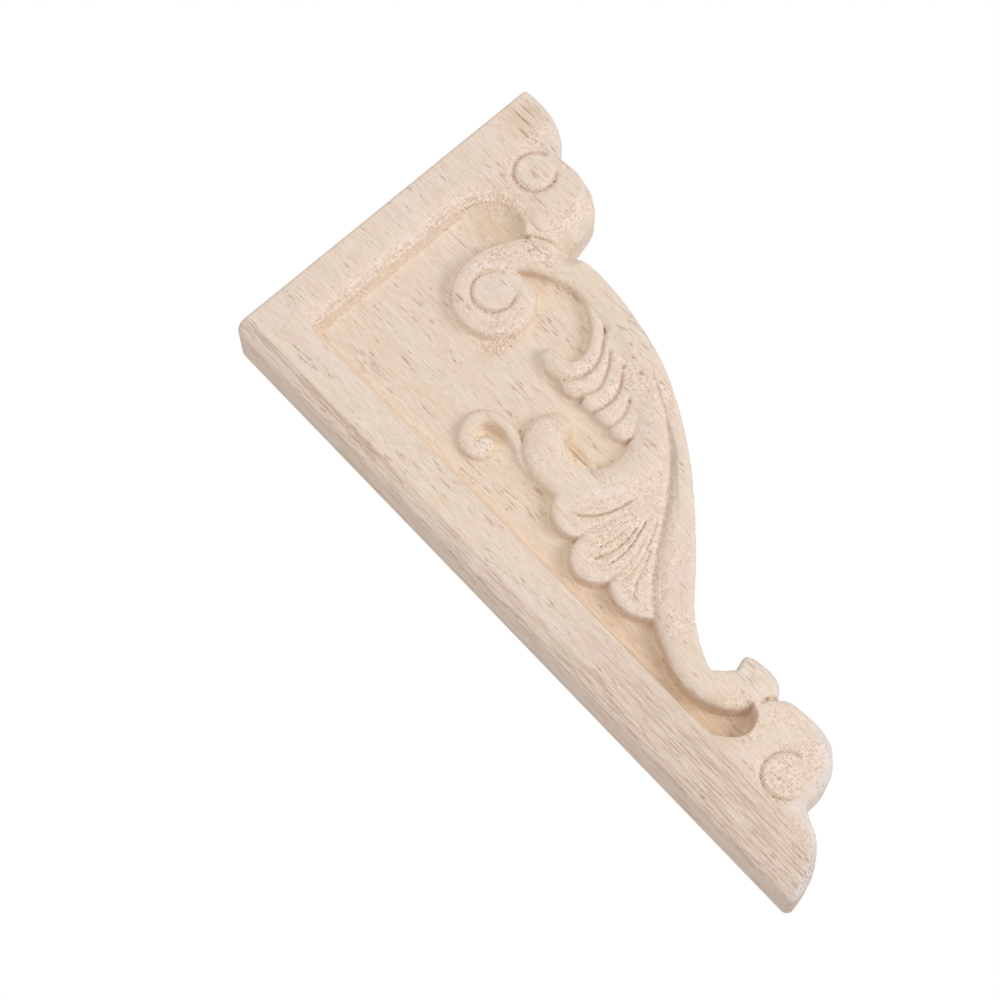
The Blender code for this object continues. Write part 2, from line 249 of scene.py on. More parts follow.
def patch(p, cx, cy, rx, ry):
    """1 in the middle of an oval, falling softly to 0 outside it."""
    return step(1.6 - 1.2 * np.hypot((p[:, 0] - cx) / rx, (p[:, 1] - cy) / ry))


def ramp_share(p):
    """1 on the sloping part of the top border and round its curve, 0 elsewhere."""
    d = distance(p, RAMP_LINE)
    ends = step((p[:, 0] - 6.5) / 4) * step((p[:, 1] + 17.5) / 3)
    return step(1 - d / RAMP_WIDTH) * ends


def board(p):
    x, y = p.T
    d = distance(p, RIM, closed=True)
    d = np.where(inside(p, RIM), d, -d)
    cove = patch(p, 42, -12.5, 6, 5)
    width = 0.9 + 0.5 * step((y + 88) / 6) + 0.3 * step((y + 11) / 2) + 1.9 * cove
    ground = GROUND_LEVEL - GROUND_FALL * step((-y - 8) / 84)
    ground = ground - FOOT_FALL * step((-70 - y) / 15) * (x < 17)
    fall = 1 - (1 - np.clip((d + 0.25) / width, 0, 1)) ** WALL_CURVE
    ledge = step(1.2 - 1.4 * abs(d - 0.6)) * step((y + 11) / 2)
    ledge = 0.12 * np.sin(d * 11.4 + 1.86) * ledge
    face = THICK - FACE_GAP - RAMP_FALL * ramp_share(p) * (d < 0.3)
    return face * (1 - fall) + ground * fall + ledge


# %% [markdown]
# ## Bands
# Scroll, tail, curl and the first rib are all bands: a line down the middle with, at each
# station, a half width and the height of the crest. Across the band the wood is crowned
# like a flat arch and then drops steeply to the ground. A band with a lean has its crest
# nearer one side, as the scroll has where it winds round its eye.

# %%
# Stations of every band: across, up, half width, crest, lean. Bands: arch and steepness
SCROLL = [(35.4, -20.6, .9, 7.4, 0), (35.6, -22.4, 1, 7.55, -.2), (35, -24.8, 1.4, 7.8, -.4),
          (31.6, -26.5, 1.95, 7.95, -.5), (28.1, -25, 1.85, 8, -.5),
          (26.65, -21.9, 1.6, 8, -.4), (27.75, -18.7, 1.5, 8, -.3), (30.3, -17, 1.5, 8, -.2),
          (33.3, -16.8, 1.7, 8, -.1), (37.1, -18.3, 2.4, 8, 0), (39.9, -20.7, 2.75, 8, 0),
          (41.8, -24.4, 2.55, 8, 0), (42.9, -29.8, 2.3, 8, 0), (42, -38, 2.5, 8, 0),
          (40.5, -42.8, 2.7, 8, 0), (38.1, -47.5, 2.9, 7.9, 0), (34.6, -52.4, 3.2, 7.8, .1),
          (30, -55.3, 3.4, 7.7, .25), (25, -55.4, 3.3, 7.7, .3), (21.2, -53.5, 3.2, 7.7, .2),
          (19.4, -49.8, 2.8, 7.8, 0), (19.8, -45.6, 3, 7.9, 0), (21.6, -43.2, 3, 8, 0),
          (23.6, -43, 2.65, 7.8, 0)]
TAIL = [(19.5, -90, 3.9, 7.9, 0), (16.8, -89.3, 2.75, 7.95, 0), (14.6, -87.9, 2.6, 8, 0),
        (13.2, -85.3, 2.35, 8, 0), (13.05, -82.3, 2.3, 8, 0), (14.5, -78.8, 2.5, 8, 0),
        (17.9, -73.2, 3, 8, 0), (21.8, -69.7, 3.05, 8, 0), (25.7, -66.6, 2.7, 8, 0),
        (29.8, -63.1, 1.9, 7.9, 0), (33.2, -59.6, 1.4, 7.8, 0), (36.5, -55.7, 1.1, 7.7, 0),
        (39.4, -51, .8, 7.6, 0), (41.5, -46.4, .5, 7.4, 0)]
CURL = [(16.6, -46, .4, 6.2, 0), (17.2, -43.4, .6, 6.5, 0), (18.3, -41.2, .7, 6.85, 0),
        (18.75, -39.4, .68, 7.1, 0), (18.8, -37.6, .75, 7.2, 0), (18.2, -35.7, .95, 7.25, 0),
        (16.9, -34.4, 1.1, 7.25, 0), (15.1, -34.3, 1.15, 7.15, 0),
        (13.8, -35.2, 1.35, 7, 0), (13.3, -36.6, 1.5, 6.9, 0), (13.8, -37.8, 1.6, 6.85, 0),
        (14.7, -38, 1.45, 6.9, 0)]
HOOK = [(31, -34.3, 1.35, 7.5, .3), (30.6, -36.3, 1.6, 7.6, .5), (31.5, -38, 1.5, 7.6, .5),
        (33.2, -38.6, 1.25, 7.5, .3), (35.2, -38.4, 1.15, 7.5, 0), (37.2, -37.4, 1.05, 7.5, 0),
        (38.9, -35.8, .9, 7.5, 0), (40.1, -34, .8, 7.5, 0), (40.9, -32, .6, 7.4, 0)]
BANDS = [(SCROLL, 0.42, 6.0), (TAIL, 0.5, 6.5), (CURL, 0.5, 1.5), (HOOK, 0.6, 4.0)]
CROWN_POWER = 2.1


def crown(p, stations, arch, wall):
    """Height of one band over the points, far below the board away from it."""
    run = spline(stations, 6)
    a, b = run[:-1], run[1:]
    reach = run[:, 2].max() + 1.6
    low, high = run[:, :2].min(0) - reach, run[:, :2].max(0) + reach
    near = ((p > low) & (p < high)).all(1)
    ab = b[:, :2] - a[:, :2]
    left = np.stack([-ab[:, 1], ab[:, 0]], 1) / np.hypot(*ab.T)[:, None]

    def height(q):
        t, gap, d = segments(q, a[:, :2], b[:, :2])
        w = a[:, 2] + t * (b[:, 2] - a[:, 2])
        c = a[:, 3] + t * (b[:, 3] - a[:, 3])
        lean = a[:, 4] + t * (b[:, 4] - a[:, 4])
        s = d / w * np.sign((gap * left).sum(2))
        s = np.where(s > lean, (s - lean) / (1 - lean), (lean - s) / (1 + lean))
        over = np.clip(s, 0, 1)
        h = c - arch * w * (1 - (1 - over**CROWN_POWER) ** (1 / CROWN_POWER))
        return (h - np.clip(s - 1, 0, None) * w * wall).max(1)
    out = np.full(len(p), -9.0)
    out[near] = chunks(p[near], height, 2000)
    return out


# %% [markdown]
# ## Leaves
# The two leaf fans are flat lumps with a scalloped side: the carver leaves the lump, rounds
# its edge over, and then cuts the ribs into it. So each is a closed line with a level that
# may tilt across it.

# %%
# The lumps of the two leaves
SMALL_SCALLOPS = [
    [(29.6, -37.6), (28.9, -38.7), (28.8, -40), (29.2, -41.2), (30.1, -41.8)],
    [(30.1, -41.8), (29.4, -42.7), (29.25, -43.8), (29.7, -44.8)],
    [(29.7, -44.8), (29.4, -45.8), (29.4, -47), (29.9, -48)],
    [(29.9, -48), (29.35, -48.9), (29.3, -50), (29.9, -51), (31.2, -51.4)]]
LARGE_SCALLOPS = [
    [(17, -50.4), (15.3, -51.4), (14.2, -52.9), (13.75, -54.6), (14, -56.1), (15, -57.5)],
    [(15, -57.5), (13.2, -57.9), (11.7, -59), (10.95, -60.6), (11, -62.2), (11.9, -63.8),
     (13.6, -65.1)],
    [(13.6, -65.1), (12.6, -66.6), (12.15, -68.4), (12.35, -70.2), (13.2, -71.9),
     (14.5, -73.5)]]
SMALL_LEAF = np.vstack([spline(r, 5) for r in SMALL_SCALLOPS]
                       + [[(35, -49.5), (39, -45.5), (41.5, -40), (41, -36.5), (38.5, -37.4),
                           (36, -38.8), (33, -39.6)]])
LARGE_LEAF = np.vstack([spline(r, 6) for r in LARGE_SCALLOPS]
                       + [[(19, -71), (26, -66.6), (33.4, -60.2), (38.2, -53.2), (33, -53),
                           (28, -55), (23, -55), (19.5, -52.5), (18, -50)]])
# line, level, tilt across, where the tilt is nought, width of the rolled edge, wall
LUMPS = [(SMALL_LEAF, 7.15, 0.045, 30, 0.8, 4.5), (LARGE_LEAF, 7.55, -0.012, 12, 1.1, 5.5)]
ROLL_DROP = 0.4


def lump(p, ring, level, tilt, middle, roll, wall):
    """A flat lump with a rolled edge and a steep side."""
    level = level + tilt * (p[:, 0] - middle)
    d = distance(p, ring, closed=True)
    within = inside(p, ring)
    over = np.clip(1 - d / roll, 0, 1)
    return np.where(within, level - ROLL_DROP * over**2.2, level - ROLL_DROP - d * wall)


# %% [markdown]
# ## Cut lines
# The last tool is a fine one: it cuts the eye of the scroll, the engraved rings on the
# lobes, the grooves between the ribs and the veins of the leaves. Each is a line with a
# depth and a width. The rings are steep on the inside and slope away outside, so the disc
# in the middle seems to stand up like a button.

# %%
# Grooves and veins: line, depth, width, how slowly the start deepens
GROOVES = [
    ([(29.6, -38.2), (30.9, -39.2), (32.4, -39.8), (34.4, -39.9), (36.2, -39.3), (37.8, -38.2),
      (38.9, -37)], .46, .25, .2),
    ([(29.9, -41.7), (31.2, -42.4), (32.8, -42.7), (34.4, -42.1), (36, -41.2), (37.4, -40),
      (38.4, -38.8)], .46, .25, .2),
    ([(29.5, -44.8), (31.2, -45.3), (33, -45.4), (34.8, -44.8), (36.2, -43.8), (37.4, -42.6)],
     .55, .25, .2),
    ([(29.7, -48), (31.4, -48.3), (33, -48), (34.6, -47), (35.4, -46.2)], .4, .24, .2),
    ([(16.9, -51.4), (17.6, -53.1), (19, -55), (20.8, -56.5), (23.5, -57.7)], .12, .4, 2),
    ([(16.3, -53.4), (17, -54.9), (18.3, -56.3), (20, -57.4), (22.4, -58.2), (25.2, -58.7)],
     .55, .18, 3),
    ([(14.8, -57.5), (16.6, -57.6), (18.4, -58.1), (20.5, -59), (23.5, -59.9)], .26, .34, .3),
    ([(15.3, -60.4), (17.2, -60.8), (19.2, -61.1), (21.4, -60.9)], .34, .15, 1.2),
    ([(13.9, -61.2), (15.3, -61.8), (17, -62.2), (19.4, -62.4), (23, -61.8)], .42, .17, 1),
    ([(15.1, -63.3), (16.6, -63.5), (18.4, -63.5), (20.6, -63.1), (24.5, -61.8)], .42, .15, .6),
    ([(13.4, -65.1), (15, -65), (17.5, -65), (20, -64.5), (23, -63.2)], .26, .32, .3),
    ([(14.6, -66.4), (17, -66.3), (19.5, -65.7), (22.5, -64.4), (25.5, -62.6)], .3, .17, 2),
    ([(13.6, -69.6), (15, -68.6), (17, -67.5), (19.4, -66.5), (22, -65.2)], .32, .18, 1),
    ([(14.4, -73.5), (16, -71.4), (18, -69.4), (20.5, -67.4), (23, -65.6), (26, -63.5),
      (29, -61.3), (32, -58.7), (34.4, -56.2)], .34, .5, .2),
    ([(36.9, -52.4), (35.4, -54.2), (33.4, -56.4)], .16, .4, 1),
    ([(18.7, -93.4), (17.9, -92.6), (16.9, -92.2), (15.7, -92.2)], .55, .34, .2),
    ([(41.3, -17.9), (42.2, -19.2), (43.1, -20.8), (43.8, -22.4), (44.4, -24.1)], .45, .16, .8)]
EYE = (31.65, -21.3, 3.3)
EYE_TURN = (20, 305)
EYE_CUT = (0.55, 0.8, 0.25)
EYE_CREST, EYE_BULGE = 7.86, 0.012
RINGS = [(49.35, -11.1, 3.2, 14, 320, .5, 1.5, .36),
         (11.8, -101.7, 3.35, 8, 246, .42, 1.2, .3)]


def along(p, run):
    """Distance to an open line, how far along it that is, and how long it is."""
    a, b = run[:-1], run[1:]
    t, _, d = segments(p, a, b)
    k, at = d.argmin(1), np.arange(len(p))
    size = np.hypot(*(b - a).T)
    start = np.concatenate([[0], np.cumsum(size)])
    return d[at, k], start[k] + t[at, k] * size[k], start[-1]


def chatter(p):
    """Small ups and downs, about half a millimetre apart, where the tool has jumped."""
    x, y = p.T
    return np.sin(13 * x + 2 * np.sin(4 * y)) * np.sin(12 * y + 1.7 * np.sin(3 * x))


def ring_cut(p, cx, cy, r, start, end, depth, apron, width):
    """A ring cut: steep against its disc, with an apron sloping down to it outside."""
    x, y = p[:, 0] - cx, p[:, 1] - cy
    d = np.hypot(x, y) - r
    turn = np.degrees(np.arctan2(y, x)) % 360
    ends = step((turn - start) / 16 + 0.5) * step((end - turn) / 22 + 0.5)
    slot = np.exp(-((d / width) ** 2)) * (1 + 0.35 * chatter(p))
    skirt = np.clip(1 - d / apron, 0, 1) ** 2 * (d > 0)
    return ends * depth * (0.6 * slot + 0.4 * np.maximum(skirt, slot))


def cuts(p):
    total = np.zeros(len(p))
    for line, depth, width, slow in GROOVES:
        run = spline(line, 5)
        low, high = run.min(0) - 2, run.max(0) + 2
        near = ((p > low) & (p < high)).all(1)
        d, at, whole = along(p[near], run)
        ends = step(at / slow + 0.3) * step((whole - at) / 1.6)
        narrow = np.exp(-((d / width) ** 2)) * (1 + 0.4 * chatter(p[near]))
        broad = np.exp(-((d / (2.4 * width)) ** 2))
        total[near] += depth * ends * (0.7 * narrow + 0.3 * broad)
    for ring in RINGS:
        total += ring_cut(p, *ring)
    return total


def eye(p):
    """The button in the middle of the scroll, with the ground of its groove."""
    r = np.hypot(p[:, 0] - EYE[0], p[:, 1] - EYE[1])
    return EYE_CREST - EYE_BULGE * r**2 - np.clip(r - 4.0, 0, None) * 3.5


# %% [markdown]
# ## Sanded edges
# After carving, the edges were rubbed over. Along the lobes this left a slope about a
# millimetre wide, below the second lobe a wide shoulder, and along the left side a long soft
# fall towards the edge. Only the top edge stayed crisp.

# %%
# The slopes along the edges: line, width, drop, how pale they are, from rubbing and a painted
# highlight
LOBE_EDGES = [(spline(LOBES[0], 8), 1.3, .35, .4), (spline(LOBES[1][:5], 8), 1.1, .35, .3),
              (spline(LOBES[1][4:], 8), 3, 3, .12), (spline(LOBES[3], 8), .9, .25, .5),
              (spline(LOBES[4][:3], 8), 1, .3, .3), (spline(LOBES[4][2:], 8), 2.2, .7, 1),
              (spline(LOBES[5], 8), 1.7, .5, .8),
              (spline(LOBES[2][1:8], 8), 1.2, .3, .25)]


def sanded(p):
    """How far the sanded edges fall, and how pale: wear and a painted highlight, 0 to 1."""
    fall, share = np.zeros(len(p)), np.zeros(len(p))
    for line, width, drop, pale in LOBE_EDGES:
        t = np.clip(1 - distance(p, line) / width, 0, 1)
        fall = np.maximum(fall, drop * t**1.4)
        share = np.maximum(share, pale * step(t * 1.8))
    left = np.clip(1 - p[:, 0] / 2.5, 0, 1)
    return np.maximum(fall, 0.62 * left**1.25), share


def ripples(p):
    """Fine ridges that the cutter left across the slopes round the volute and the cove."""
    x, y = p[:, 0] - EYE[0], p[:, 1] - EYE[1]
    r, turn = np.hypot(x, y), np.arctan2(y, x)
    amount = patch(p, 29, -26.8, 4.6, 2.6) * (r > 4.9) + patch(p, 36.9, -20.8, 1.3, 2.2)
    around = 0.042 * amount * np.sin(turn * 90)
    x, y = p[:, 0] - 38, p[:, 1] + 15
    fan = np.sin(np.arctan2(y, x) * 62) * patch(p, 41, -10.6, 2.4, 2.2)
    across = np.sin(p[:, 0] * 9 + p[:, 1] * 12) * patch(p, 44.6, -20.4, 1.6, 1)
    return around + 0.045 * fan + 0.05 * across


# %%
# Single dark marks, where a pore or a splinter has torn: middle, half sizes, strength
TORN = [(28.5, -23, .18, .4, .5), (29.3, -23.9, .35, .2, .55), (30.3, -24.3, .4, .15, .45),
        (32.9, -17.7, .12, .3, .5), (34.8, -19, .25, .15, .5), (35.6, -19.9, .14, .3, .5),
        (29.6, -18.1, .35, .13, .4), (33.8, -23.5, .25, .15, .4), (47.2, -13.9, .4, .15, .5),
        (27.3, -18.8, .15, .95, 1), (34.8, -14.2, .12, .8, .7), (40.6, -18.6, .22, .24, 1),
        (39.8, -20.2, .2, .22, .9), (40.4, -20.4, .22, .2, .8), (40.9, -20.3, .12, 1.1, .8),
        (36, -17.1, .15, .15, .8), (38.1, -19.1, .25, .2, .6), (37.4, -19, .2, .18, .5),
        (41.1, -22.7, .14, .3, .6), (40.2, -23.9, .12, .35, .6), (40.4, -29.6, .12, 2, .5),
        (28.2, -28.9, .2, .4, .6), (32.8, -26.3, .22, .2, .5), (41.3, -18.2, .34, .3, .9),
        (46, -14.4, .1, .5, .5), (50.7, -17.6, .12, .4, .5), (50.5, -14.3, .35, .15, .8),
        (49, -21, .15, .12, .5), (40.5, -41.1, .15, .42, 1), (39.3, -42.8, .15, .42, .8),
        (41.7, -42.6, .1, 1.3, .8), (37.4, -42.9, .34, .3, 1), (38.9, -37.5, .15, .6, .5),
        (38.5, -45.4, .15, .42, .9), (37.4, -46.5, .15, .2, .8), (37.4, -48, .12, .25, .7),
        (34.5, -47.3, .2, .36, .8), (35.2, -51, .2, .15, .7), (34.4, -52, .15, .2, .7),
        (33, -52.8, .15, .15, .8), (41.3, -38.4, .14, .5, .6), (43.2, -33.5, .1, 1, .5),
        (35, -29.7, .14, .5, .7), (36, -31.3, .1, .6, .5), (38, -34.2, .1, 1.2, .8),
        (35.1, -36.4, .14, .9, .7), (29.7, -42.3, .5, .32, .9), (30.4, -51.6, .7, .24, .9),
        (28.3, -57.9, .3, .12, .7), (25.6, -65.4, .12, .3, .5), (24.6, -57.5, .2, .12, .5),
        (17.7, -92.3, .35, .2, .9), (15.6, -91.6, .5, .35, .6), (8.3, -104, .12, .4, .5),
        (10.8, -101.2, .1, 1.2, .6), (12.4, -101.4, .1, .8, .5), (20.9, -34.3, .1, .8, .7),
        (21, -36.5, .12, .7, .8), (20.1, -39.7, .3, .2, .9), (14.9, -40.8, .12, .4, .6),
        (23.6, -48.4, .14, 2.5, 1), (24.1, -48, .1, 2.4, .5), (10.6, -43, .12, .9, .7),
        (12.3, -43.8, .1, 1, .5), (15.9, -48.2, .2, .9, .7), (11.8, -46.8, .1, 1.2, .6),
        (9.3, -9.8, .14, 1, .6), (9.9, -17.2, .1, .8, .6), (14.4, -15.2, .12, .5, .7),
        (15.4, -20.2, .12, 1.2, .7), (15.1, -22, .1, .9, .6), (10.5, -22.2, .14, .9, .5),
        (22.3, -18.2, .12, .6, .7), (20.5, -13.8, .14, 1, .4), (52.5, -5.4, .16, 1.3, .9),
        (54, -3.4, .16, 2.2, .9), (55.4, -2.9, .14, 1.8, .8), (56.3, -3, .1, 1.6, .6),
        (56.9, -3.4, .1, 1.2, .5), (12.7, -83.2, .1, .9, .7), (17.1, -87.8, .1, .8, .6)]


def torn(p):
    out = np.zeros(len(p))
    for cx, cy, rx, ry, amount in TORN:
        near = (abs(p[:, 0] - cx) < 2 * rx) & (abs(p[:, 1] - cy) < 2 * ry)
        out[near] = np.maximum(out[near], amount * patch(p[near], cx, cy, rx, ry))
    return out


TORN_DEPTH, SHOULDER_DEPTH, EDGE_ROUND = 0.12, 0.6, 0.7


def carve(p):
    """Height of the finished face at every point."""
    x, y = p.T
    h = board(p)
    for part in LUMPS:
        h = higher(h, lump(p, *part), 0.15)
    h = higher(h, eye(p), 0.12)
    for stations, arch, wall in BANDS:
        h = higher(h, crown(p, stations, arch, wall), 0.16)
    h = h - cuts(p) - ring_cut(p, *EYE, *EYE_TURN, *EYE_CUT) - TORN_DEPTH * torn(p)
    h = h + 0.02 * np.sin(x * 1.3 + 0.4 * np.sin(y * 0.31)) + 0.015 * np.sin(y * 0.9 + x * 0.7)
    h = h + ripples(p) - SHOULDER_DEPTH * patch(p, 45.2, -23, 1.7, 2.2) * (h > 7)
    fall = sanded(p)[0]
    h = h - fall * np.clip((h - 5) / 3, 0, 1)
    over = np.clip(1 - edge_distance(p, RING) / EDGE_ROUND, 0, 1)
    lip = THICK - 0.02 - EDGE_ROUND * (1 - np.sqrt(1 - over**2))
    return np.minimum(np.minimum(h, lip - fall), THICK)


# %% [markdown]
# ## From heights to a mesh
# A plain grid would waste faces on the flat border and be too coarse on the ribs. So the
# heights are measured on a fine grid first. The points where the surface bends are all
# kept, where it bends a little every second one, and elsewhere every fourth one. A Delaunay
# triangulation joins them, with the outline as its fixed edge.

# %%
# Measure the heights on a fine grid
FULL_FINE = 0.16
FINE = FULL_FINE
COLUMNS = np.arange(0, WIDTH, FINE)
ROWS = -np.arange(0, TALL, FINE)
on_board = inside_rows(ROWS, COLUMNS, RING)
gx, gy = np.meshgrid(COLUMNS, ROWS)
grid = np.stack([gx.ravel(), gy.ravel()], 1)
heights = np.full(on_board.shape, np.nan)
heights[on_board] = carve(grid[on_board.ravel()])
print("grid points on the board:", int(on_board.sum()), "lowest, highest:",
      np.nanmin(heights).round(2), np.nanmax(heights).round(2))


def blurred(values, reach):
    """Mean of the values within a square window, leaving the empty cells out."""
    n = max(1, int(round(reach / FINE)))
    full = np.nan_to_num(values)
    count = (~np.isnan(values)).astype(float)
    for axis in (0, 1):
        for _ in range(2):
            kernel = np.ones(2 * n + 1)
            full = np.apply_along_axis(np.convolve, axis, full, kernel, "same")
            count = np.apply_along_axis(np.convolve, axis, count, kernel, "same")
    return full / np.maximum(count, 1e-9)


# The two hollow measures brighten the wood as painted bounce light; the wall foot measure
# darkens it as painted shade.
HOLLOW = np.clip((blurred(heights, 0.9) - heights) / 0.8, -1, 1)
WIDE_HOLLOW = np.clip((blurred(heights, 2.4) - heights) / 1.6, -1, 1)
WALL_FOOT_SHADE = np.clip((blurred(heights, 0.3) - heights - 0.3) / 0.7, 0, 1)

# %%
# Keep the points where the surface bends, and a thin lattice elsewhere
bend = np.zeros_like(heights)
mid = heights[1:-1, 1:-1]
bend[1:-1, 1:-1] = np.nan_to_num(np.abs(4 * mid - heights[:-2, 1:-1] - heights[2:, 1:-1]
                                        - heights[1:-1, :-2] - heights[1:-1, 2:]), nan=1.0)
for dy, dx in ((0, 1), (1, 0), (0, -1), (-1, 0)):
    bend = np.maximum(bend, np.roll(bend, (dy, dx), (0, 1)))
BEND_LIMIT = 0.0115 * (FINE / FULL_FINE) ** 2
RIM_IN, CLEAR_OF_EDGE = 0.05, 0.13
ky, kx = np.indices(heights.shape)
pick = bend > BEND_LIMIT
pick |= (kx % 2 + ky % 2 == 0) & (bend > BEND_LIMIT / 4)
pick |= kx % 4 + ky % 4 == 0
pick |= (torn(grid) > 0.05).reshape(pick.shape)
pick &= on_board
pick[pick] = edge_distance(grid[pick.ravel()], RING) > CLEAR_OF_EDGE
inner = grid[pick.ravel()]
print("points kept:", len(inner))


def shrink(ring, by):
    way = np.roll(ring, -1, 0) - np.roll(ring, 1, 0)
    way /= np.maximum(np.hypot(*way.T), 1e-9)[:, None]
    return ring + np.stack([way[:, 1], -way[:, 0]], 1) * by


# %%
# Triangulate the face
rim = shrink(RING, RIM_IN)
rim = rim[distance(rim, RING[::3], closed=True) > 0.02]
plan = np.vstack([RING, rim, inner])
edges = [(k, (k + 1) % len(RING)) for k in range(len(RING))]
flat = delaunay_2d_cdt([Vector(q) for q in plan], edges, [], 1, 1e-6)
plan = np.array([tuple(v) for v in flat[0]])
source = [o[0] if o else -1 for o in flat[3]]
plan_h = carve(plan)
ring_at = {o: k for k, o in enumerate(source) if 0 <= o < len(RING)}
loop = [ring_at[k] for k in range(len(RING))]
verts = [(*q, h) for q, h in zip(plan, plan_h)]
faces = []
for corners in flat[2]:
    a, b, c = (plan[k] for k in corners)
    turned = (b[0] - a[0]) * (c[1] - a[1]) < (b[1] - a[1]) * (c[0] - a[0])
    faces.append(tuple(reversed(corners)) if turned else tuple(corners))
print("face triangles:", len(faces))

# %%
# Add the wall in rows, and the back
WALL_ROWS = 7
above = loop
for row in range(1, WALL_ROWS + 1):
    below = []
    for k in loop:
        below.append(len(verts))
        verts.append((*plan[k], plan_h[k] * (1 - row / WALL_ROWS)))
    for k in range(len(loop)):
        n = (k + 1) % len(loop)
        faces.append((above[k], above[n], below[n], below[k]))
    above = below
faces.append(tuple(above))
carving_mesh = bpy.data.meshes.new("onlay_carving")
carving_mesh.from_pydata(stand_up(verts).tolist(), [], faces)
carving_mesh.validate()
onlay = bpy.data.objects.new("onlay_carving", carving_mesh)
bpy.context.scene.collection.objects.link(onlay)
print("faces:", len(carving_mesh.polygons), "triangles:",
      sum(len(f.vertices) - 2 for f in carving_mesh.polygons))


# %% [markdown]
# ## What the surface remembers
# A finish depends on how the wood was worked, and here also on how the light falls. Eleven
# numbers are stored at every point: how deep it lies, how far it sits in a narrow or a wide
# hollow, at the foot of a wall or in a cut line, where the cutter has left its dotted marks or
# its ridges, where the wood is stained tan and where corners get painted shade, where it is
# torn, where long dark streaks run, also marking the shaded left side, and where the edges were
# rubbed pale and catch the light. Materials and modifiers read them by name. The wood paints
# light and shade with several of them: bounce light in the hollows, shade at wall feet, in
# corners and on the left side, and highlights on the edges, ridges and cup rims.

# %%
# Ovals for the cutter marks, for tan stains with painted shade in corners, and where an edge is
# not made pale: middle, half sizes, amount
MARKED = [(53.5, -7.3, 3.4, 1.8, .7), (45.8, -11, 1.5, 3.6, .7), (48.8, -7.2, 3.6, 1.2, .8),
          (48.3, -13.6, 2.6, 1.4, .6), (53, -15, 1.4, 3.4, .5), (48, -19.8, 5.4, 2, .8),
          (35.5, -17, 3.4, 1.6, .9), (41, -21.5, 2.2, 3.4, .8), (40.9, -30, 1.0, 5.5, .6),
          (28.5, -26.6, 4.6, 2.8, .9), (27, -20.8, 1.6, 3.8, .6), (37, -20, 2.6, 2.2, .6),
          (32.8, -40, 4.4, 1.8, .9), (33, -45, 4, 2.4, .7), (38, -47.5, 2.6, 7, .8),
          (31, -49.5, 2.4, 2.4, .5), (17.8, -44.5, 1.8, 3.4, .5), (22.6, -42.2, 2.4, 1.8, .6),
          (21.4, -48, 1.8, 3, .5), (21, -55.5, 6, 2.6, .7), (26.5, -59.6, 4, 3.4, .8),
          (19, -62.5, 7.5, 6, .95), (16.5, -69.5, 4, 4, .9), (16.4, -76.5, 2, 3.2, .7),
          (22, -68.6, 3, 2.6, .6), (14.4, -90, 2.6, 2.4, .7), (12, -101.4, 4.8, 4.8, .8),
          (16.4, -102.6, 2.8, 2.6, .9), (17.4, -97.4, 2, 3, .6), (14, -94.6, 5, 1.3, .7),
          (8, -109.4, 2.8, 3.2, .6), (14.2, -38.2, 2.2, 2.2, .8)]
STAINS_AND_SHADE = [(41, -12.8, 5, 5, .5), (44.9, -21.9, .8, .8, .5), (37.7, -23.8, 1.6, 2.6, .35),
           (9.8, -70, 1.2, 8, .4), (11.5, -91, 3.6, 4, .6),
           (17.2, -37.4, 1.2, 2.4, .75), (25.2, -42.4, 1.4, 1.6, .4), (24, -45, 1.4, 1, .35),
           (54, -3.8, 3.4, 3.8, .42), (45.4, -22.6, 1.4, 1.9, .5), (9.4, -101.8, 1.5, 2.8, .35),
           (11.6, -105.5, 1.1, .7, .35), (29.6, -37.6, 1.4, 1.8, .4), (27, -27, 3.6, 2.4, .25),
           (37.7, -22.9, 1, 1.3, .5), (16.2, -61.4, 1.2, .5, .5), (24, -47.8, .7, 2.6, .5),
           (11.7, -37.6, .9, 2.2, .3), (19.2, -59, 1.1, .6, .35), (15.6, -48.6, .9, 1.4, .4),
           (31.2, -40.9, 1.6, .7, .25), (28.6, -40, .6, 2, .3)]
NO_PALE_EDGE = [(12.2, -105.7, 2.2, .8, .6)]
RIDGE_SCALE = 18


def most(p, ovals):
    out = np.zeros(len(p))
    for cx, cy, rx, ry, amount in ovals:
        out = np.maximum(out, amount * patch(p, cx, cy, rx, ry))
    return out


def sample(values, p):
    i = np.clip(np.round(p[:, 0] / FINE).astype(int), 0, values.shape[1] - 1)
    j = np.clip(np.round(-p[:, 1] / FINE).astype(int), 0, values.shape[0] - 1)
    return np.nan_to_num(values[j, i])


def marked(p):
    """Where the cutter's dots show, 0 to 1: on the ramp more than on the wall below it."""
    share = ramp_share(p) * np.where(inside(p, RIM), 0.3, 1)
    return np.maximum(share, most(p, MARKED))


def stain_and_shade_mask(p, h):
    """Tan where the cut went deep: the wood's own tone, and painted shade in the corners."""
    x, y = p.T
    low = step((-46 - y) / 30) * step((21 - x) / 3) * 0.62
    low = low * step((edge_distance(p, RING) - 0.8) / 1.2)
    side = np.exp(-((x - 9) / 0.6) ** 2) * step((-7.6 - y) / 1.5) * 0.5
    ramp = np.exp(-((y + 8.3) / 0.6) ** 2) * step((x - 8) / 1) * step((40 - x) / 4) * 0.5
    sunk = step((7.2 - h) / 1.4)
    return np.maximum(np.maximum(np.maximum(low, side) * sunk, ramp), most(p, STAINS_AND_SHADE))


# %%
# Store them on the mesh
def store(mesh, name, values):
    layer = mesh.attributes.new(name, "FLOAT", "POINT")
    layer.data.foreach_set("value", np.asarray(values, np.float32))


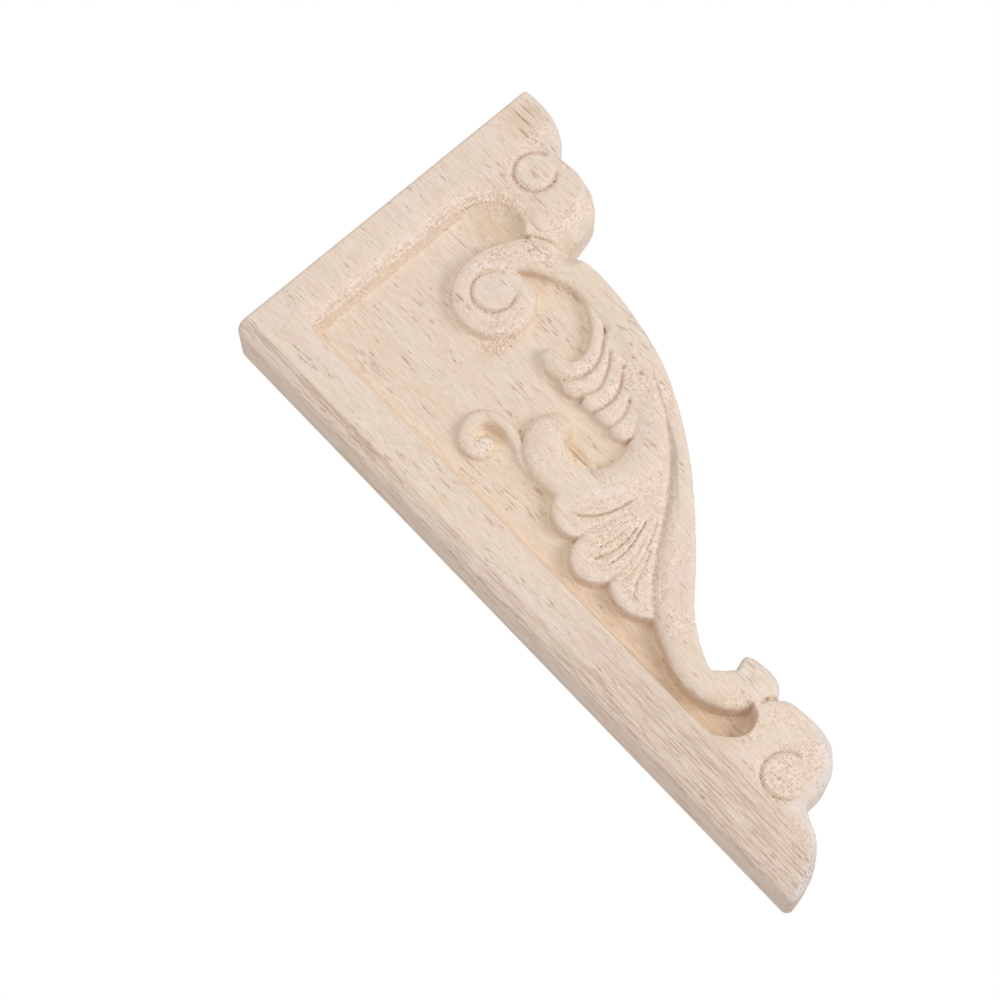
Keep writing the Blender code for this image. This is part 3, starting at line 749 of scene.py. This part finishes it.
all_points = np.array(verts)
flat_points, all_heights = all_points[:, :2], all_points[:, 2]
top = np.zeros(len(all_points))
top[:len(plan)] = 1
at_x, at_y = flat_points.T
inland = top * step((edge_distance(flat_points, RING) - 0.6) / 1.4)
# Where the long streaks run; along the left edge the same mask also lays painted shade.
streaks_and_side_shade = step((9.5 - at_x) / 3) * step((-50 - at_y) / 40)
streaks_and_side_shade = np.maximum(streaks_and_side_shade, step((2.7 - at_x) / 0.5))
store(carving_mesh, "sunk", ((7.6 - all_heights) / 2.2).clip(0, 1) * top)
store(carving_mesh, "hollow", sample(HOLLOW, flat_points) * inland)
store(carving_mesh, "wide_hollow", sample(WIDE_HOLLOW, flat_points) * inland)
store(carving_mesh, "foot_shade", sample(WALL_FOOT_SHADE, flat_points) * inland)
store(carving_mesh, "marks", marked(flat_points) * top)
store(carving_mesh, "stain_and_shade", stain_and_shade_mask(flat_points, all_heights) * top)
store(carving_mesh, "streaks_and_side_shade", streaks_and_side_shade)
rubbed_and_lit = sanded(flat_points)[1] * (1 - most(flat_points, NO_PALE_EDGE))
store(carving_mesh, "rubbed_and_lit", rubbed_and_lit * top)
store(carving_mesh, "torn", torn(flat_points) * top)
store(carving_mesh, "cut", cuts(flat_points) * top)
store(carving_mesh, "ridges", ripples(flat_points) * RIDGE_SCALE * top)
print("share of the face with cutter marks:", float(marked(plan).mean().round(3)))


# %% [markdown]
# ## Cutter marks
# A ball shaped cutter leaves rows of tiny cups on every slope. They repeat over a surface,
# so they are made with Geometry Nodes: a tree that reads the stored marks and presses cups
# of a given size and spacing into the mesh.

# %%
# A node tree that presses small cups into the wood
CUP_PITCH, CUP_DEPTH, CUP_SPREAD, CUP_SEED = 0.00042, 0.0002, 0.5, 4.0
CUP_REACH = 0.62


def tree_input(tree, name, kind, value=None):
    socket = tree.interface.new_socket(name, in_out="INPUT", socket_type=kind)
    if value is not None:
        socket.default_value = value


def add(tree, kind, **settings):
    node = tree.nodes.new(kind)
    for key, value in settings.items():
        setattr(node, key, value)
    return node


def cup_tree():
    tree = bpy.data.node_groups.new("cutter_cups", "GeometryNodeTree")
    tree_input(tree, "Geometry", "NodeSocketGeometry")
    tree_input(tree, "Spacing", "NodeSocketFloat", CUP_PITCH)
    tree_input(tree, "Depth", "NodeSocketFloat", CUP_DEPTH)
    tree_input(tree, "Seed", "NodeSocketFloat", CUP_SEED)
    tree_input(tree, "Wood", "NodeSocketMaterial")
    tree.interface.new_socket("Geometry", in_out="OUTPUT", socket_type="NodeSocketGeometry")
    start = add(tree, "NodeGroupInput")
    end = add(tree, "NodeGroupOutput")
    link = tree.links.new
    place = add(tree, "GeometryNodeInputPosition")
    scale = add(tree, "ShaderNodeVectorMath", operation="DIVIDE")
    spread = add(tree, "ShaderNodeCombineXYZ")
    for k in range(3):
        link(start.outputs["Spacing"], spread.inputs[k])
    link(place.outputs[0], scale.inputs[0])
    link(spread.outputs[0], scale.inputs[1])
    cells = add(tree, "ShaderNodeTexVoronoi", voronoi_dimensions="4D", feature="F1")
    cells.inputs["Scale"].default_value = 1.0
    cells.inputs["Randomness"].default_value = CUP_SPREAD
    link(scale.outputs[0], cells.inputs["Vector"])
    link(start.outputs["Seed"], cells.inputs["W"])
    cup = add(tree, "ShaderNodeMath", operation="SUBTRACT")
    cup.inputs[1].default_value = CUP_REACH
    link(cells.outputs["Distance"], cup.inputs[0])
    marks = add(tree, "GeometryNodeInputNamedAttribute", data_type="FLOAT")
    marks.inputs["Name"].default_value = "marks"
    share = add(tree, "ShaderNodeMath", operation="MULTIPLY")
    link(cup.outputs[0], share.inputs[0])
    link(marks.outputs["Attribute"], share.inputs[1])
    depth = add(tree, "ShaderNodeMath", operation="MULTIPLY")
    link(share.outputs[0], depth.inputs[0])
    link(start.outputs["Depth"], depth.inputs[1])
    down = add(tree, "ShaderNodeMath", operation="MINIMUM")
    down.inputs[1].default_value = 0.0
    link(depth.outputs[0], down.inputs[0])
    normal = add(tree, "GeometryNodeInputNormal")
    push = add(tree, "ShaderNodeVectorMath", operation="SCALE")
    link(normal.outputs[0], push.inputs[0])
    link(down.outputs[0], push.inputs["Scale"])
    move = add(tree, "GeometryNodeSetPosition")
    link(start.outputs["Geometry"], move.inputs["Geometry"])
    link(push.outputs[0], move.inputs["Offset"])
    real = add(tree, "GeometryNodeRealizeInstances")
    link(move.outputs[0], real.inputs[0])
    finish = add(tree, "GeometryNodeSetMaterial")
    link(real.outputs[0], finish.inputs["Geometry"])
    link(start.outputs["Wood"], finish.inputs["Material"])
    link(finish.outputs[0], end.inputs[0])
    return tree


def apply_tree(obj, tree, **values):
    """Run a node tree on an object and keep the result as its plain mesh."""
    mod = obj.modifiers.new(tree.name, "NODES")
    mod.node_group = tree
    for item in tree.interface.items_tree:
        if item.in_out == "INPUT" and item.name in values:
            mod[item.identifier] = values[item.name]
    bpy.context.view_layer.update()
    deps = bpy.context.evaluated_depsgraph_get()
    mesh = bpy.data.meshes.new_from_object(obj.evaluated_get(deps))
    obj.modifiers.remove(mod)
    obj.data = mesh
    return mesh


# %% [markdown]
# ## Pale rubberwood
# Rubberwood is cream with a pink cast, yellower where it is cut deep. Its pores are open:
# short brown dashes that all run along the grain, which here follows the long side. In a
# real block they are thin tubes, so the pattern is made in three dimensions and stretched
# along Z. On the side walls it gives long lines, and on the end grain dots. Over the wood's
# own colour some light and shade is painted: brighter, warmer hollows, darker wall feet, cups,
# cut lines and corners, and highlights on edges, ridges and cup rims.

# %%
# Helpers for the wood's nodes
class Finish:
    """A short way to add nodes to one material and wire them up."""

    def __init__(self, name):
        self.mat = bpy.data.materials.new(name)
        self.mat.use_nodes = True
        self.tree = self.mat.node_tree
        self.shader = self.tree.nodes["Principled BSDF"]
        self.place = self.node("ShaderNodeTexCoord").outputs["Object"]

    def node(self, kind, **settings):
        return add(self.tree, kind, **settings)

    def put(self, socket, value):
        if isinstance(value, bpy.types.NodeSocket):
            self.tree.links.new(value, socket)
        else:
            socket.default_value = value

    def math(self, operation, a, b):
        n = self.node("ShaderNodeMath", operation=operation)
        self.put(n.inputs[0], a)
        self.put(n.inputs[1], b)
        return n.outputs[0]

    def times(self, a, b):
        return self.math("MULTIPLY", a, b)

    def read(self, name):
        return self.node("ShaderNodeAttribute", attribute_name=name).outputs["Fac"]

    def stretched(self, x, y, z):
        n = self.node("ShaderNodeMapping")
        n.inputs["Scale"].default_value = (x, y, z)
        self.put(n.inputs["Vector"], self.place)
        return n.outputs[0]

    def cloud(self, sizes, detail, w, rough=0.5):
        """Soft noise whose spots are about the given size in millimetres."""
        n = self.node("ShaderNodeTexNoise", noise_dimensions="4D")
        self.put(n.inputs["Vector"], self.stretched(*[1000 / s for s in sizes]))
        n.inputs["W"].default_value = w
        n.inputs["Scale"].default_value = 1.0
        n.inputs["Detail"].default_value = detail
        n.inputs["Roughness"].default_value = rough
        return n.outputs[0]

    def between(self, value, low, high, to_low=0.0, to_high=1.0):
        n = self.node("ShaderNodeMapRange", interpolation_type="SMOOTHSTEP")
        self.put(n.inputs["Value"], value)
        for key, v in (("From Min", low), ("From Max", high), ("To Min", to_low),
                       ("To Max", to_high)):
            n.inputs[key].default_value = v
        return n.outputs[0]

    def mix(self, share, a, b):
        n = self.node("ShaderNodeMix", data_type="RGBA")
        self.put(n.inputs[0], share)
        self.put(n.inputs[6], a if isinstance(a, bpy.types.NodeSocket) else (*a, 1))
        self.put(n.inputs[7], b if isinstance(b, bpy.types.NodeSocket) else (*b, 1))
        return n.outputs[2]

    def tint(self, colour, share, amount, paint):
        """Mix a paint into the colour, where the share says, by at most the amount."""
        return self.mix(self.times(share, amount), colour, paint)


# %%
# The wood itself
CREAM = (0.765, 0.655, 0.565)
PINK = (0.735, 0.60, 0.525)
STRAW = (0.75, 0.635, 0.48)
# tan of the wood, also painted shade at wall feet, in cups and between ridges
TAN_AND_SHADE = (0.60, 0.415, 0.26)
PORE = (0.33, 0.19, 0.105)
# pale of the sanded edges: wear, and a painted highlight
PALE_WEAR_AND_HIGHLIGHT = (0.62, 0.58, 0.575)
BLUSH = (0.82, 0.63, 0.545)
# light fibre tone, also a painted highlight on ridge crests and cup rims
BRIGHT_FIBRE_AND_HIGHLIGHT = (0.84, 0.75, 0.68)
SHADE = (0.47, 0.31, 0.19)
# painted bounce light for the hollows
WARM_BOUNCE_LIGHT = (0.96, 0.80, 0.615)
# dry grey tone, also painted shade on the left side
DRY_TONE_AND_SHADE = (0.60, 0.475, 0.40)


def rubberwood():
    f = Finish("pale_rubberwood")
    marks, streaks_and_side_shade = f.read("marks"), f.read("streaks_and_side_shade")
    # broad tone
    streak = f.cloud((1.1, 1.1, 22), detail=3, w=1.0)
    broad = f.cloud((8, 8, 40), detail=2, w=2.0)
    colour = f.mix(f.between(streak, 0.36, 0.66), CREAM, PINK)
    colour = f.tint(colour, f.between(broad, 0.42, 0.7), 0.5, STRAW)
    colour = f.tint(colour, f.read("sunk"), 0.3, STRAW)
    # painted bounce light: the narrow and wide hollows are brightened and warmed
    colour = f.mix(f.between(f.read("wide_hollow"), 0.1, 0.8, 0, 0.4), colour, WARM_BOUNCE_LIGHT)
    colour = f.mix(f.between(f.read("hollow"), 0.1, 0.9, 0, 0.45), colour, WARM_BOUNCE_LIGHT)
    # tan of deep cuts, and painted shade in corners such as inside the scroll's arch and under
    # the second lobe
    stain_and_shade = f.times(f.read("stain_and_shade"), f.between(streak, 0.2, 0.7, 0.55, 1.0))
    colour = f.mix(stain_and_shade, colour, TAN_AND_SHADE)
    # painted shade: a dark tan line at the foot of every wall
    foot_shade = f.times(f.between(f.read("foot_shade"), 0.25, 1), f.between(streak, 0.3, 0.7, 0.7, 1))
    colour = f.tint(colour, foot_shade, 0.6, TAN_AND_SHADE)
    # fuzz and threads of the raw fibres
    fuzz = f.cloud((0.24, 0.24, 0.6), detail=3, w=7.0, rough=0.7)
    colour = f.mix(f.between(fuzz, 0.3, 0.72, 0.25, 0), colour, TAN_AND_SHADE)
    thread = f.cloud((0.2, 0.2, 2.6), detail=1, w=11.0)
    colour = f.mix(f.between(thread, 0.5, 0.7, 0, 0.4), colour, BRIGHT_FIBRE_AND_HIGHLIGHT)
    colour = f.mix(f.between(thread, 0.5, 0.3, 0, 0.3), colour, TAN_AND_SHADE)
    # pores, in clusters, with long lines where the board is coarse
    flock = f.cloud((2.6, 2.6, 12), detail=2, w=4.0)
    dash = f.math("ADD", f.cloud((0.3, 0.3, 2.2), detail=2, w=3.0, rough=0.6),
                  f.between(flock, 0.35, 0.72, -0.06, 0.085))
    pore = f.between(dash, 0.61, 0.76)
    line = f.math("ADD", f.cloud((0.2, 0.2, 5), detail=2, w=8.0),
                  f.between(f.cloud((2, 2, 50), detail=1, w=9.0), 0.35, 0.7, -0.04, 0.04))
    line = f.times(f.between(line, 0.46, 0.68), streaks_and_side_shade)
    fine = f.between(f.cloud((0.13, 0.13, 1.4), detail=1, w=5.0), 0.6, 0.78)
    # grey dry tone where the streaks run, which on the left slope and side wall is painted
    # shade
    colour = f.tint(colour, streaks_and_side_shade, 0.38, DRY_TONE_AND_SHADE)
    # pale edges: partly rubbed wear, partly a painted highlight where the slopes catch the
    # light
    colour = f.tint(colour, f.read("rubbed_and_lit"), 0.75, PALE_WEAR_AND_HIGHLIGHT)
    for share, amount in ((fine, 0.28), (line, 0.44), (pore, 0.52)):
        colour = f.tint(colour, share, amount, PORE)
    # cutter dots: a pink tint on the marked wood, painted shade in each cup and a painted
    # highlight round its rim
    cells = f.node("ShaderNodeTexVoronoi", voronoi_dimensions="4D", feature="F1")
    pitch = 1 / CUP_PITCH
    f.put(cells.inputs["Vector"], f.stretched(pitch, pitch, pitch))
    cells.inputs["W"].default_value = CUP_SEED
    cells.inputs["Scale"].default_value = 1.0
    cells.inputs["Randomness"].default_value = CUP_SPREAD
    spot = f.between(cells.outputs["Distance"], CUP_REACH, 0.28)
    patchy = f.between(f.cloud((1.4, 1.4, 1.8), detail=2, w=10.0), 0.4, 0.6, 0.45, 1.0)
    dots = f.times(f.times(spot, patchy), marks)
    edge = f.times(f.between(cells.outputs["Distance"], 0.5, 0.75), marks)
    colour = f.tint(colour, f.times(marks, patchy), 0.35, BLUSH)
    colour = f.tint(colour, f.times(edge, patchy), 0.65, BRIGHT_FIBRE_AND_HIGHLIGHT)
    colour = f.tint(colour, dots, 0.8, TAN_AND_SHADE)
    # ridges, cut lines and torn places: a painted highlight on each ridge crest and painted
    # shade between them, painted shade in the cut lines, and dark torn fibres
    ridges = f.read("ridges")
    colour = f.mix(f.between(ridges, 0.1, 1, 0, 0.4), colour, BRIGHT_FIBRE_AND_HIGHLIGHT)
    colour = f.mix(f.between(ridges, -0.1, -1, 0, 0.4), colour, TAN_AND_SHADE)
    cut = f.times(f.between(f.read("cut"), 0.08, 0.5), f.between(fuzz, 0.35, 0.6, 0.3, 1))
    colour = f.tint(colour, cut, 0.42, SHADE)
    ragged = f.times(f.read("torn"), f.between(fuzz, 0.32, 0.6, 0.45, 1))
    colour = f.tint(colour, ragged, 0.8, PORE)
    f.put(f.shader.inputs["Base Color"], colour)
    f.put(f.shader.inputs["Roughness"], f.between(streak, 0.2, 0.8, 0.66, 0.82))
    f.shader.inputs["Specular IOR Level"].default_value = 0.22
    # fine relief
    grain = f.cloud((0.16, 0.16, 2.4), detail=3, w=6.0)
    lift = f.math("ADD", f.times(grain, 0.5), f.times(fuzz, 0.7))
    for hole, depth in ((pore, 0.8), (line, 0.8), (dots, 0.9)):
        lift = f.math("SUBTRACT", lift, f.times(hole, depth))
    bump = f.node("ShaderNodeBump")
    bump.inputs["Strength"].default_value = 0.75
    bump.inputs["Distance"].default_value = 0.00009
    f.put(bump.inputs["Height"], lift)
    f.put(f.shader.inputs["Normal"], bump.outputs[0])
    return f.mat


SHARP_EDGE = math.radians(62)
wood = rubberwood()
onlay.data.materials.append(wood)
cups = apply_tree(onlay, cup_tree(), Spacing=CUP_PITCH, Depth=CUP_DEPTH, Seed=CUP_SEED,
                  Wood=wood)
cups.name = "onlay_carving"
cups.materials.clear()
cups.materials.append(wood)
cups.shade_smooth()
cups.set_sharp_from_angle(angle=SHARP_EDGE)
print("carving triangles:", sum(len(f.vertices) - 2 for f in cups.polygons))
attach(onlay, "root")
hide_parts("corner_onlay")


# %% [markdown]
# ## The studio
# The picture was taken almost straight down on the face, with the onlay turned on the
# table. Here the onlay stands upright as it hangs on furniture, so the camera is rolled
# instead. The room is white all round, with a broad lamp to the picture's right and two
# weaker ones opposite.

# %%
# Camera
FRAME_PIXELS, SENSOR = 1000, 36
LENS_PIXELS, AWAY = 2645.4, 0.38218
TILT, ROLL = math.radians(20.749), math.radians(42.565)
SHIFT_U, SHIFT_V = -38.732, 23.952
c, s, ct, st = math.cos(ROLL), math.sin(ROLL), math.cos(TILT), math.sin(TILT)
right = Vector((c, 0, -s))
up = Vector((s * ct, -st, c * ct))
back = Vector((-s * st, -ct, -c * st))
aim = Vector(stand_up([(-c * SHIFT_U - s * SHIFT_V, s * SHIFT_U - c * SHIFT_V, 0)])[0])
eye_at = aim + back * AWAY
camera = bpy.data.cameras.new("camera")
camera.sensor_width = SENSOR
camera.lens = SENSOR * LENS_PIXELS / FRAME_PIXELS
camera.clip_start, camera.clip_end = 0.01, 10
viewer = bpy.data.objects.new("camera", camera)
viewer.matrix_world = Matrix(((right.x, up.x, back.x, eye_at.x),
                              (right.y, up.y, back.y, eye_at.y),
                              (right.z, up.z, back.z, eye_at.z), (0, 0, 0, 1)))
bpy.context.scene.collection.objects.link(viewer)
bpy.context.scene.camera = viewer
print("camera at", [round(v * 1000) for v in eye_at], "mm, lens", round(camera.lens, 1))


# %%
# Light, floor and background
def lamp(name, towards, size, power, colour=(1, 1, 1)):
    """A square soft lamp, placed by its way along the picture's right, up and nearer."""
    data = bpy.data.lights.new(name, "AREA")
    data.size, data.energy, data.color = size, power, colour
    obj = bpy.data.objects.new(name, data)
    obj.location = right * towards[0] + up * towards[1] + back * towards[2]
    obj.rotation_euler = obj.location.to_track_quat("Z", "Y").to_euler()
    bpy.context.scene.collection.objects.link(obj)


lamp("broad_lamp", (0.63, 0.08, 0.5), 0.4, 3.2, (1, 0.985, 0.965))
lamp("fill_lamp", (-0.35, 0.45, 0.7), 0.7, 1.35)
lamp("low_lamp", (-0.5, -0.6, 0.3), 0.5, 1.1)
ROOM_LIGHT, ROOM_SEEN = 0.7, 1.0
world = bpy.data.worlds.new("white_room")
bpy.context.scene.world = world
world.use_nodes = True
sky = world.node_tree.nodes["Background"]
sky.inputs["Color"].default_value = (1, 1, 1, 1)
path = world.node_tree.nodes.new("ShaderNodeLightPath")
amount = world.node_tree.nodes.new("ShaderNodeMapRange")
amount.inputs["To Min"].default_value = ROOM_LIGHT
amount.inputs["To Max"].default_value = ROOM_SEEN
world.node_tree.links.new(path.outputs["Is Camera Ray"], amount.inputs["Value"])
world.node_tree.links.new(amount.outputs["Result"], sky.inputs["Strength"])
FAR, LOW = 3, -0.9
floor_mesh = bpy.data.meshes.new("floor")
floor_mesh.from_pydata([(-FAR, -FAR, LOW), (FAR, -FAR, LOW), (FAR, FAR, LOW), (-FAR, FAR, LOW)],
                       [], [(0, 1, 2, 3)])
floor = bpy.data.objects.new("floor", floor_mesh)
paper = bpy.data.materials.new("pale_floor")
paper.use_nodes = True
matt = paper.node_tree.nodes["Principled BSDF"]
matt.inputs["Base Color"].default_value = (0.9, 0.9, 0.9, 1)
matt.inputs["Roughness"].default_value = 0.9
floor_mesh.materials.append(paper)
bpy.context.scene.collection.objects.link(floor)
bpy.context.scene.view_settings.view_transform = "Standard"
